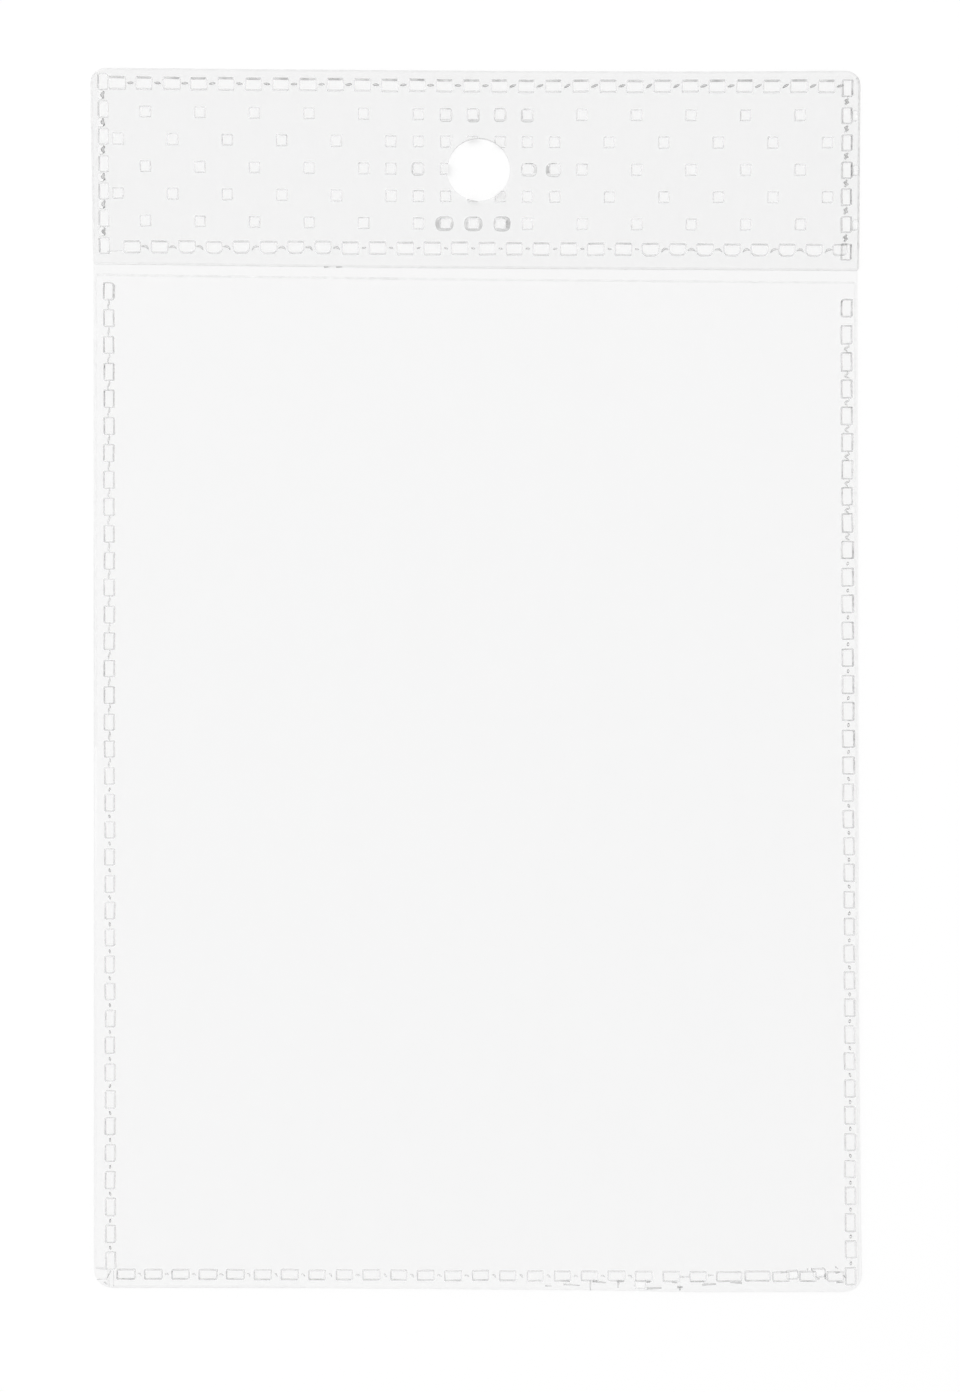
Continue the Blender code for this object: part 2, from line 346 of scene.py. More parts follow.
def mark(tree, geometry, name, value, domain, selection=True):
    """Stores a number on the geometry under a name."""
    return add(tree, "GeometryNodeStoreNamedAttribute", {
        "Geometry": geometry, "Selection": selection, "Name": name, "Value": value},
        data_type="FLOAT", domain=domain)


def gather(tree, *parts):
    """Puts several geometries together."""
    joined = tree.nodes.new("GeometryNodeJoinGeometry")
    for part in parts:
        tree.links.new(part, joined.inputs[0])
    return joined.outputs[0]


def make_pressed_pad():
    """One pad as the die leaves it: a plug of vinyl with sloping walls round a sunk floor."""
    tree, given = geometry_tree("pressed_pad", [(label, "Float") for label in PAD_INPUTS])
    x, y = axes_of(tree, add(tree, "GeometryNodeInputPosition"))
    above = work_out(tree, "GREATER_THAN", y, 0.0)
    outline = add(tree, "GeometryNodeCurvePrimitiveQuadrilateral", {
        "Width": given["Length"], "Height": given["Width"]})
    rounded = add(tree, "GeometryNodeFilletCurve", {
        "Curve": outline, "Count": 3, "Limit Radius": True,
        "Radius": pick(tree, above, given["Lower Corner"], given["Upper Corner"])}, mode="POLY")
    patch = add(tree, "GeometryNodeFillCurve", {"Curve": rounded}, mode="NGONS")
    down = vector(tree, z=work_out(tree, "MULTIPLY", given["Height"], -1.0))
    plug = add(tree, "GeometryNodeExtrudeMesh", {
        "Mesh": patch, "Offset": down, "Offset Scale": 1.0, "Individual": False})
    plug = add(tree, "GeometryNodeFlipFaces", {"Mesh": plug})
    dish = tree.nodes.new("GeometryNodeExtrudeMesh")
    fill(tree, dish, {"Mesh": patch, "Offset Scale": 0.0, "Individual": False})
    floor = []
    for place, size, low_wall, high_wall in (
            (x, "Length", "Start Wall", "Finish Wall"), (y, "Width", "Lower Wall", "Upper Wall")):
        walls = work_out(tree, "ADD", given[low_wall], given[high_wall])
        shrunk = work_out(tree, "SUBTRACT", 1.0, work_out(tree, "DIVIDE", walls, given[size]))
        off_centre = work_out(tree, "MULTIPLY", 0.5, work_out(
            tree, "SUBTRACT", given[low_wall], given[high_wall]))
        floor.append(work_out(tree, "MULTIPLY_ADD", place, shrunk, off_centre))
    floor = vector(tree, *floor, work_out(tree, "MULTIPLY", given["Depth"], -1.0))
    sunk = add(tree, "GeometryNodeSetPosition", {
        "Geometry": dish.outputs["Mesh"], "Selection": dish.outputs["Top"], "Position": floor})
    # Painted shade on the walls: each of the four sides gets its own amount.
    from_end, from_side = (
        work_out(tree, "MULTIPLY_ADD", given[size], 0.5,
                 work_out(tree, "MULTIPLY", work_out(tree, "ABSOLUTE", place), -1.0))
        for size, place in (("Length", x), ("Width", y)))
    end_shade = pick(tree, work_out(tree, "GREATER_THAN", x, 0.0), given["Start Grey"],
                    given["Finish Grey"])
    side_shade = pick(tree, above, given["Lower Grey"], given["Upper Grey"])
    painted_shade = pick(tree, work_out(tree, "LESS_THAN", from_end, from_side), side_shade, end_shade)
    sunk = mark(tree, sunk, "painted_shade", painted_shade, "FACE", dish.outputs["Side"])
    put_out(tree, add(tree, "GeometryNodeMergeByDistance", {
        "Geometry": gather(tree, sunk, plug), "Distance": 0.001}))
    return tree


pressed_pad = make_pressed_pad()


def pad_in(tree, given):
    """Places one pressed pad in another tree, with that tree's own inputs of the same names."""
    pad = tree.nodes.new("GeometryNodeGroup")
    pad.node_tree = pressed_pad
    fill(tree, pad, {label: given[label] for label in PAD_INPUTS})
    return pad.outputs[0]


def strike_each(tree, points, shape, turn, askew, given, seed):
    """Sets a shape on every point, each struck a little askew, its painted shade scaled by its own
    random weight.
    """
    turned = work_out(tree, "ADD", turn, add(tree, "FunctionNodeRandomValue", {
        "Min": work_out(tree, "MULTIPLY", askew, -1.0), "Max": askew,
        "Seed": work_out(tree, "ADD", given["Seed"], seed)}, data_type="FLOAT"))
    copies = add(tree, "GeometryNodeInstanceOnPoints", {
        "Points": points, "Instance": shape, "Rotation": add(
            tree, "FunctionNodeEulerToRotation", {"Euler": vector(tree, z=turned)}),
        "Scale": add(tree, "FunctionNodeRandomValue", {
            "Min": SMALLEST_PAD, "Max": LARGEST_PAD,
            "Seed": work_out(tree, "ADD", given["Seed"], seed + 2)}, data_type="FLOAT_VECTOR")})
    copies = mark(tree, copies, "shade_weight", add(tree, "FunctionNodeRandomValue", {
        "Min": given["Lightest"], "Max": 1.0,
        "Seed": work_out(tree, "ADD", given["Seed"], seed + 1)}, data_type="FLOAT"), "INSTANCE")
    real = add(tree, "GeometryNodeRealizeInstances", {"Geometry": copies})
    painted_shade, shade_weight = (
        add(tree, "GeometryNodeInputNamedAttribute", {"Name": name}, output="Attribute",
            data_type="FLOAT")
        for name in ("painted_shade", "shade_weight"))
    return mark(tree, real, "painted_shade", work_out(tree, "MULTIPLY", painted_shade, shade_weight), "FACE")


def finish_tree(tree, geometry, given):
    """Brings a tree's result from millimetres to metres and gives it its material."""
    scaled = add(tree, "GeometryNodeTransform", {"Geometry": geometry, "Scale": (MM, MM, MM)})
    put_out(tree, add(tree, "GeometryNodeSetMaterial", {
        "Geometry": scaled, "Material": given["Material"]}))
    return tree


def make_spot_field():
    """The header's spot welds: every other place of a lattice, and all of them near the hole.

    The lattice leans and bends a little, as the film gave way under the die.
    """
    tree, given = geometry_tree("spot_field", [
        *((label, "Float") for label in PAD_INPUTS), ("Columns", "Int"), ("Rows", "Int"),
        ("Pitch", "Float"), ("Middle", "Vector"), ("Tilt", "Float"), ("Lean", "Float"),
        ("Bend", "Float"), ("Cluster", "Float"), ("Askew", "Float"), ("Lightest", "Float"),
        ("Seed", "Int"), ("Material", "Material")])
    across, up = (
        work_out(tree, "MULTIPLY", given["Pitch"], work_out(tree, "SUBTRACT", given[count], 1.0))
        for count in ("Columns", "Rows"))
    lattice = add(tree, "GeometryNodeMeshGrid", {
        "Size X": across, "Size Y": up, "Vertices X": given["Columns"],
        "Vertices Y": given["Rows"]}, output="Mesh")
    x, y = axes_of(tree, add(tree, "GeometryNodeInputPosition"))
    steps = [
        work_out(tree, "ROUND", work_out(tree, "DIVIDE", place, given["Pitch"]))
        for place in (x, y)]
    odd = work_out(tree, "FLOORED_MODULO", work_out(tree, "ADD", *steps), 2.0)
    away = work_out(tree, "ADD", *(work_out(tree, "ABSOLUTE", step) for step in steps))
    outside = work_out(tree, "GREATER_THAN", away, work_out(tree, "ADD", given["Cluster"], 0.5))
    kept = add(tree, "GeometryNodeDeleteGeometry", {
        "Geometry": lattice, "Selection": work_out(tree, "MULTIPLY", odd, outside)}, domain="POINT")
    warp = vector(tree, work_out(tree, "MULTIPLY", given["Lean"], y), work_out(
        tree, "MULTIPLY", given["Bend"], work_out(tree, "MULTIPLY", x, x)))
    kept = add(tree, "GeometryNodeSetPosition", {"Geometry": kept, "Offset": warp})
    kept = add(tree, "GeometryNodeTransform", {
        "Geometry": kept, "Translation": given["Middle"],
        "Rotation": vector(tree, z=given["Tilt"])})
    spots = strike_each(tree, kept, pad_in(tree, given), given["Tilt"], given["Askew"], given, 0)
    return finish_tree(tree, spots, given)


def settled(made):
    """What an object's modifiers make of it, as a plain mesh in place of its own."""
    graph = bpy.context.evaluated_depsgraph_get()
    mesh = bpy.data.meshes.new_from_object(
        made.evaluated_get(graph), preserve_all_data_layers=True, depsgraph=graph)
    made.modifiers.clear()
    made.data = mesh
    return made


def grown(name, tree, values):
    """Runs a Geometry Nodes tree with those inputs and keeps its result."""
    made = bpy.data.objects.new(name, bpy.data.meshes.new(name))
    bpy.context.scene.collection.objects.link(made)
    modifier = made.modifiers.new(name, "NODES")
    modifier.node_group = tree
    for item in tree.interface.items_tree:
        if item.in_out == "INPUT":
            modifier[item.identifier] = values[item.name]
    return settled(made)


def sided(label, values):
    """A pad's walls or the painted shade on them by their inputs' names: upper, lower, start and
    finish.
    """
    return {f"{side} {label}": value for side, value in zip(PAD_SIDES, values)}


def cutter_of(values):
    """The same pads grown by a hair and made taller, to cut their windows in the films."""
    place = "First" if "First" in values else "Middle"
    return {
        **values, **sided("Wall", [CUTTER_WALL] * 4), place: (*values[place][:2], CUTTER_TOP),
        "Height": CUTTER_HEIGHT, "Depth": -CUTTER_PEAK, "Tie Length": 0.0,
        "Length": values["Length"] + 2 * CUTTER_CLEARANCE,
        "Width": values["Width"] + 2 * CUTTER_CLEARANCE}


def hole_punch(steps=64):
    """The round punch for the hook hole, as tall as the pads' cutters."""
    bm = bmesh.new()
    bmesh.ops.create_cone(
        bm, cap_ends=True, segments=steps, radius1=HOLE_RADIUS, radius2=HOLE_RADIUS,
        depth=CUTTER_HEIGHT)
    bmesh.ops.translate(bm, verts=bm.verts, vec=(*HOLE_CENTRE, CUTTER_TOP - CUTTER_HEIGHT / 2))
    return show("hook_hole_punch", bm)


spot_vinyl = clear_vinyl("spot_vinyl", SPOT_TINT, blotch=0.004, breaks=0.3)
# The spots' walls carry painted shade, with its own amount on each side.
spot_values = {
    "Length": 1.65, "Width": 1.65, "Depth": 0.1, "Height": HEADER_HIGH - BACK_LOW,
    "Upper Corner": 0.1, "Lower Corner": 0.1, **sided("Wall", [0.16] * 4),
    **sided("Grey", (0.5, 0.2, 0.52, 0.41)), "Columns": 27, "Rows": 5, "Pitch": PITCH,
    "Middle": (-0.56, 77.6, HEADER_HIGH), "Tilt": SPOT_TILT, "Lean": SPOT_LEAN, "Bend": SPOT_BEND,
    "Cluster": 4, "Askew": math.radians(2.0), "Lightest": 0.6, "Seed": 11, "Material": spot_vinyl}
spot_field = make_spot_field()
header_spots = grown("header_spots", spot_field, spot_values)
spot_cutter = grown("spot_cutter", spot_field, cutter_of(spot_values))
punch = hole_punch()
header_strip = film_sheet(
    "header_film", HEADER_OUTLINE, HEADER_LOW, HEADER_HIGH, HEADER_EDGE_WIDTH, across=14, up=4)
header_strip.data.materials.append(
    clear_vinyl("header_vinyl", HEADER_TINT, blotch=0.004, breaks=0.6))
lay(header_strip, "header_strip")


# Pocket seams: the front sheet is welded to the back down both sides and along the bottom by
# rows of pressed pads with short ties between them, where the die has drawn the vinyl. The ties
# and the pads' walls are darkened by painted shade.
PAD_TINT = (0.945, 0.945, 0.945, 1.0)
SECOND_TINT = (0.985, 0.985, 0.985, 1.0)
SECOND_SUNK = 0.03
STROKE_FLATNESS = 0.5
TIE_POINTS, TIE_SIDES, TIE_END_SHARE = 9, 6, 0.25
PAD_WALLS = (0.24, 0.24, 0.16, 0.16)
# Painted shade on a pad's walls: upper, lower, start and finish.
PAD_PAINTED_SHADES = (0.5, 0.5, 0.35, 0.35)


def make_weld_row():
    """A row of pressed pads with a drawn-out tie in each gap between them."""
    tree, given = geometry_tree("weld_row", [
        *((label, "Float") for label in PAD_INPUTS), ("Pads", "Int"), ("First", "Vector"),
        ("Step", "Vector"), ("Turn", "Float"), ("Wander", "Float"), ("Askew", "Float"),
        ("Lightest", "Float"), ("Tie Length", "Float"), ("Tie Width", "Float"),
        ("Tie Swing", "Float"), ("Tie Waves", "Float"), ("Tie Lift", "Float"),
        ("Tie Slant", "Float"), ("Tie Askew", "Float"), ("Tie Grey", "Float"), ("Ties", "Int"),
        ("Seed", "Int"), ("Material", "Material")])
    line = add(tree, "GeometryNodeMeshLine", {
        "Count": given["Pads"], "Start Location": given["First"], "Offset": given["Step"]},
        mode="OFFSET")
    reach = vector(tree, given["Wander"], given["Wander"])
    line = add(tree, "GeometryNodeSetPosition", {
        "Geometry": line, "Offset": add(tree, "FunctionNodeRandomValue", {
            "Min": add(tree, "ShaderNodeVectorMath", {"Vector": reach, "Scale": -1.0},
                       operation="SCALE"),
            "Max": reach, "Seed": given["Seed"]}, data_type="FLOAT_VECTOR")})
    pads = strike_each(tree, line, pad_in(tree, given), given["Turn"], given["Askew"], given, 1)
    half_step = add(tree, "ShaderNodeVectorMath", {"Vector": given["Step"], "Scale": 0.5},
                    operation="SCALE")
    gaps = add(tree, "GeometryNodeMeshLine", {
        "Count": given["Ties"],
        "Start Location": add(tree, "ShaderNodeVectorMath", {
            "Vector": given["First"], "Vector_001": half_step}, operation="ADD"),
        "Offset": given["Step"]}, mode="OFFSET")
    half_length = work_out(tree, "MULTIPLY", given["Tie Length"], 0.5)
    thread = add(tree, "GeometryNodeCurvePrimitiveLine", {
        "Start": vector(tree, work_out(tree, "MULTIPLY", half_length, -1.0)),
        "End": vector(tree, half_length)})
    thread = add(tree, "GeometryNodeResampleCurve", {
        "Curve": thread, "Count": TIE_POINTS}, mode="COUNT")
    so_far = add(tree, "GeometryNodeSplineParameter", output="Factor")
    turns = work_out(tree, "MULTIPLY", given["Tie Waves"],
                     work_out(tree, "MULTIPLY", so_far, math.tau))
    taper = work_out(tree, "MULTIPLY_ADD", 1.0 - TIE_END_SHARE, work_out(
        tree, "SINE", work_out(tree, "MULTIPLY", so_far, math.pi)), TIE_END_SHARE)
    thread = add(tree, "GeometryNodeSetPosition", {
        "Geometry": thread, "Offset": vector(tree, y=work_out(
            tree, "MULTIPLY_ADD", given["Tie Swing"], work_out(tree, "SINE", turns),
            given["Tie Lift"]))})
    round_wire = add(tree, "GeometryNodeCurvePrimitiveCircle", {
        "Resolution": TIE_SIDES, "Radius": work_out(tree, "MULTIPLY", given["Tie Width"], 0.5)})
    tie = add(tree, "GeometryNodeCurveToMesh", {
        "Curve": thread, "Profile Curve": round_wire, "Fill Caps": True, "Scale": taper})
    # The ties' darkness is painted shade.
    tie = mark(tree, tie, "painted_shade", given["Tie Grey"], "FACE")
    slanted = work_out(tree, "ADD", given["Turn"], given["Tie Slant"])
    ties = strike_each(tree, gaps, tie, slanted, given["Tie Askew"], given, 5)
    ties = add(tree, "GeometryNodeDeleteGeometry", {
        "Geometry": ties, "Selection": work_out(tree, "LESS_THAN", given["Tie Length"], 0.01)})
    return finish_tree(tree, gather(tree, pads, ties), given)


weld_row = make_weld_row()


def row(first, step, pads, top, material, seed, walls=PAD_WALLS, greys=PAD_PAINTED_SHADES, **own):
    """One row of pads from its first pad on. Their upper side is on the left along the row."""
    values = {
        "Length": 2.65, "Width": 1.75, "Depth": 0.16, "Height": top - BACK_LOW,
        "Upper Corner": 0.2, "Lower Corner": 0.2, **sided("Wall", walls), **sided("Grey", greys),
        "Pads": pads, "First": (*first, top), "Step": (*step, 0.0),
        "Turn": math.atan2(step[1], step[0]), "Wander": 0.04, "Askew": 0.02, "Lightest": 0.82,
        "Tie Length": 0.0, "Tie Width": 0.3, "Tie Swing": 0.0, "Tie Waves": 1.0, "Tie Lift": 0.0,
        "Tie Slant": 0.0, "Tie Askew": 0.2, "Tie Grey": 0.5, "Ties": pads - 1, "Seed": seed,
        "Material": material}
    return {**values, **{name.replace("_", " ").title(): value for name, value in own.items()}}


def run(first, step, top, material, seed, groups, **shared):
    """Rows one after another along a line: the pads of each, their painted shade and what else
    differs.
    """
    rows, done = [], 0
    for pads, greys, own in groups:
        start = [place + stride * done for place, stride in zip(first, step)]
        values = {"ties": pads, **shared, **own}
        rows.append(row(
            start, step, pads, top, material, seed + 10 * len(rows), greys=greys, **values))
        done += pads
    return rows


def join(pieces):
    """Makes the pieces one object, under the first one's name."""
    if len(pieces) == 1:
        return pieces[0]
    with bpy.context.temp_override(active_object=pieces[0], selected_editable_objects=pieces):
        bpy.ops.object.join()
    return pieces[0]


def weld(name, node, rows, strokes=()):
    """Makes a seam of those rows stand for its CAD node, and returns what cuts its windows."""
    seam = join([*(grown(name, weld_row, values) for values in rows), *strokes])
    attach(seam, "root")
    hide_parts(node)
    return [grown(name + "_cutter", weld_row, cutter_of(values)) for values in rows]


def drawn_strokes(name, lines, top, painted_shade, material):
    """Threads the die has dragged out, darkened by painted shade: where each starts and ends, and
    its width.
    """
    bm = bmesh.new()
    layer = bm.faces.layers.float.new("painted_shade")
    for x, y, to_x, to_y, width in lines:
        start, end = Vector((x, y, 0.0)), Vector((to_x, to_y, 0.0))
        turned = (end - start).to_track_quat("Z", "Y").to_matrix().to_4x4()
        bmesh.ops.create_cone(
            bm, cap_ends=True, segments=TIE_SIDES, radius1=width / 2, radius2=width / 4,
            depth=(end - start).length,
            matrix=Matrix.Translation((start + end) / 2) @ turned)
    for face in bm.faces:
        face[layer] = painted_shade
    for vert in bm.verts:
        vert.co.z = top + vert.co.z * STROKE_FLATNESS
    strokes = show(name, bm)
    strokes.data.materials.append(material)
    return strokes


pocket_weld = clear_vinyl("pocket_weld", PAD_TINT, blotch=0.004, breaks=0.7)
second_vinyl = clear_vinyl("second_vinyl", SECOND_TINT, blotch=0.002, breaks=0.7)
corner_strokes = drawn_strokes("corner_strokes", (
    (-57.6, -90.83, -56.1, -90.75, 0.2), (-55.45, -89.5, -56.15, -90.85, 0.28),
    (-56.45, -91.2, -56.0, -91.6, 0.34), (-55.05, -89.5, -55.05, -91.9, 0.12)),
    FRONT_HIGH, 0.2, pocket_weld)
bottom_strokes = drawn_strokes("bottom_strokes", (
    (10.4, -91.8, 11.45, -91.82, 0.26), (13.2, -91.58, 15.7, -91.74, 0.3),
    (14.1, -91.04, 12.9, -91.04, 0.34), (17.27, -90.98, 17.27, -92.5, 0.34),
    (17.6, -91.08, 19.7, -91.35, 0.46), (21.25, -91.1, 22.4, -91.1, 0.42),
    (21.55, -91.3, 21.45, -92.1, 0.42), (25.75, -91.2, 26.4, -91.2, 0.44),
    (25.8, -92.18, 28.1, -92.12, 0.44), (29.7, -91.15, 30.45, -91.3, 0.44),
    (30.4, -92.0, 31.3, -92.0, 0.46), (30.85, -91.95, 30.85, -92.5, 0.5),
    (30.9, -90.47, 32.4, -90.43, 0.26), (34.5, -91.14, 32.5, -91.1, 0.28),
    (35.1, -90.23, 35.95, -90.2, 0.28), (34.25, -91.6, 36.3, -91.54, 0.46),
    (40.25, -91.38, 38.5, -91.3, 0.34)),
    FRONT_HIGH, 0.26, pocket_weld)
end_strokes = drawn_strokes("end_strokes", (
    (46.1, -89.75, 47.1, -89.7, 0.36), (50.2, -89.15, 50.2, -89.65, 0.24),
    (50.85, -89.1, 50.85, -89.6, 0.2), (51.65, -90.65, 52.1, -90.75, 0.4),
    (52.88, -90.0, 52.9, -90.8, 0.36), (54.45, -89.8, 55.15, -89.72, 0.38),
    (54.4, -88.95, 54.85, -89.2, 0.28), (54.55, -91.25, 55.7, -91.3, 0.26),
    (55.6, -90.2, 56.1, -90.65, 0.3)), FRONT_HIGH, 0.34, pocket_weld)
dot_tie = {"tie_length": 0.6, "tie_swing": 0.0, "tie_askew": 0.4}
left_rows = run(
    (-55.8, 59.08), (0.007, -4.0875), FRONT_HIGH, pocket_weld, 100, (
        (1, (0.66, 0.62, 0.56, 0.2), {
            "width": 1.7, "upper_corner": 0.55, "walls": (0.32, 0.24, 0.16, 0.16)}),
        (6, (0.55, 0.71, 0.38, 0.21), {}),
        (6, (0.47, 0.54, 0.25, 0.4), {"tie_grey": 0.12}),
        (5, (0.43, 0.65, 0.44, 0.48), {}),
        (19, (0.35, 0.47, 0.1, 0.39), {
            **dot_tie, "width": 1.58, "tie_width": 0.31, "tie_grey": 0.3, "ties": 18})),
    width=1.67, tie_length=1.5, tie_width=0.26, tie_swing=0.09, tie_askew=0.08, tie_grey=0.22)
right_rows = run(
    (56.12, 56.51), (0.0185, -4.082), FRONT_HIGH, pocket_weld, 200, (
        (1, (0.58, 0.75, 0.56, 0.48), {"lower_corner": 0.5, "ties": 0}),
        (8, (0.55, 0.57, 0.67, 0.56), {"length": 2.88, "tie_grey": 0.2}),
        (9, (0.7, 0.36, 0.65, 0.65), {
            **dot_tie, "length": 2.83, "width": 1.86, "tie_width": 0.36}),
        (9, (0.49, 0.4, 0.37, 0.42), {
            **dot_tie, "width": 1.7, "tie_width": 0.4, "tie_grey": 0.17}),
        (10, (0.29, 0.46, 0.22, 0.42), {
            **dot_tie, "width": 1.7, "tie_width": 0.36, "ties": 9})),
    length=2.72, width=1.78, walls=(0.28, 0.24, 0.2, 0.2), tie_length=1.2, tie_width=0.28,
    tie_swing=0.28, tie_waves=1.25, tie_askew=0.35, tie_grey=0.12)
bottom_pad = {"width": 1.55, "walls": (0.2, 0.22, 0.2, 0.18)}
bottom_rows = run(
    (-53.15, -90.05), (4.134, -0.019), FRONT_HIGH, pocket_weld, 300, (
        (5, (0.36, 0.67, 0.78, 0.29), {"length": 2.8}),
        (10, (0.21, 0.55, 0.48, 0.14), {}),
        (7, (0.24, 0.37, 0.33, 0.1), {"ties": 4})),
    **bottom_pad, tie_length=0.7, tie_width=0.22, tie_swing=0.12, tie_waves=0.75, tie_slant=-0.2,
    tie_askew=0.5, tie_grey=0.04)
end_pad = {**bottom_pad, "greys": (0.36, 0.56, 0.48, 0.27)}
second_pad = {"height": 0.94, "depth": 0.08, "walls": (0.2, 0.2, 0.16, 0.16)}
end_rows = [
    row((38.36, -90.42), (4.25, 0.02), 2, FRONT_HIGH, pocket_weld, 43, **end_pad, length=3.95),
    row((46.17, -90.45), (PITCH, 0.0), 3, FRONT_HIGH, pocket_weld, 44, **end_pad),
    row((24.87, -91.66), (PITCH, 0.0), 1, FRONT_HIGH - SECOND_SUNK, second_vinyl, 45, **second_pad,
        length=1.7, width=1.2, greys=(0.2, 0.22, 0.3, 0.25)),
    row((47.92, -90.14), (4.1, 0.25), 2, FRONT_HIGH - SECOND_SUNK, second_vinyl, 47, **second_pad,
        length=1.9, width=1.35, greys=(0.5, 0.45, 0.15, 0.55))]
pocket_cutters = [
    *weld("left_weld", "left_seam", left_rows),
    *weld("right_weld", "right_seam", right_rows),
    *weld("bottom_weld", "bottom_seam", [*bottom_rows, *end_rows],
          [corner_strokes, bottom_strokes, end_strokes])]


# Header seams: a row of the same pads along each of the header's four sides. Each row's pads
# carry painted shade on their walls, darker on one side than on the others.
BRIDGE_TINT = (0.957, 0.957, 0.957, 1.0)
BRIDGE_SUNK = 0.02

header_weld = clear_vinyl("header_weld", PAD_TINT, blotch=0.004, breaks=0.78)
bridge_vinyl = clear_vinyl("bridge_vinyl", BRIDGE_TINT, blotch=0.002, breaks=0.65)
header_pad = {"length": 2.55, "width": 1.9}
top_rows = [
    row((-54.57, 90.66), (PITCH, -0.034), 14, HEADER_HIGH, header_weld, 51, **header_pad,
        walls=(0.345, 0.18, 0.12, 0.12), greys=(0.64, 0.27, 0.16, 0.12), tie_length=1.0,
        tie_width=0.38, tie_grey=0.29, ties=14),
    row((3.42, 90.17), (PITCH, -0.001), 13, HEADER_HIGH, header_weld, 55, **header_pad,
        walls=(0.345, 0.2, 0.12, 0.12), greys=(0.64, 0.33, 0.18, 0.14), tie_length=1.1,
        tie_width=0.39, tie_slant=0.4, tie_grey=0.34, ties=13)]
lower_rows = run(
    (-52.25, 65.81), (PITCH, -0.022), HEADER_HIGH, header_weld, 500, (
        (2, (0.5, 0.3, 0.16, 0.18), {"lower_corner": 0.3}),
        (6, (0.48, 0.32, 0.2, 0.22), {"lower_corner": 0.75}),
        (11, (0.54, 0.31, 0.27, 0.22), {
            **dot_tie, "tie_lift": 0.0, "tie_width": 0.28, "tie_grey": 0.12}),
        (7, (0.52, 0.34, 0.24, 0.24), {"lower_corner": 0.8})),
    **header_pad, walls=(0.26, 0.22, 0.12, 0.12), tie_length=1.2, tie_width=0.32, tie_swing=0.3,
    tie_waves=0.5, tie_lift=-0.25, tie_askew=0.5, tie_grey=0.15)
lower_rows.append(row(
    (55.2, 65.3), (PITCH, 0.0), 1, HEADER_HIGH - SECOND_SUNK, header_weld, 65, length=2.2,
    width=1.8, height=1.03, depth=0.08, lower_corner=0.6, walls=(0.24, 0.24, 0.12, 0.12)))
lower_strokes = drawn_strokes("lower_strokes", (
    (-56.0, 65.05, -53.45, 65.2, 0.24), (-23.1, 62.73, -22.25, 62.72, 0.26),
    (-21.3, 62.72, -20.35, 62.71, 0.26)), HEADER_HIGH, 0.16, header_weld)
header_left_rows = [
    row((-56.73, 90.9), (0.04, -4.145), 7, HEADER_HIGH, header_weld, 71, length=2.45, width=1.55,
        walls=(0.12, 0.26, 0.12, 0.12), greys=(0.1, 0.52, 0.2, 0.18), tie_length=1.2,
        tie_width=0.47, tie_swing=0.14, tie_waves=1.5, tie_grey=0.44),
    row((-57.06, 88.83), (0.04, -4.145), 6, HEADER_HIGH - BRIDGE_SUNK, bridge_vinyl, 75,
        depth=0.02, length=1.3, width=1.0, upper_corner=0.4, lower_corner=0.4,
        greys=(0.0, 0.0, 0.0, 0.0))]
header_right_rows = [
    row((56.27, 89.87), (-0.04, -4.142), 7, HEADER_HIGH, header_weld, 81, length=2.5, width=1.65,
        walls=(0.26, 0.27, 0.16, 0.16), greys=(0.78, 0.53, 0.43, 0.39), lightest=0.9,
        tie_length=1.1, tie_width=0.42, tie_swing=0.2, tie_waves=2.0, tie_lift=-0.1, tie_grey=0.38),
    row((57.45, 85.7), (0.0, -8.28), 3, HEADER_HIGH - BRIDGE_SUNK, bridge_vinyl, 85, depth=0.05,
        length=1.6, width=0.7, walls=(0.1, 0.1, 0.16, 0.16), greys=(0.1, 0.3, 0.3, 0.3))]
header_cutters = [
    *weld("header_top_weld", "header_top_seam", top_rows),
    *weld("header_lower_weld", "header_lower_seam", lower_rows, [lower_strokes]),
    *weld("header_left_weld", "header_left_seam", header_left_rows),
    *weld("header_right_weld", "header_right_seam", header_right_rows)]


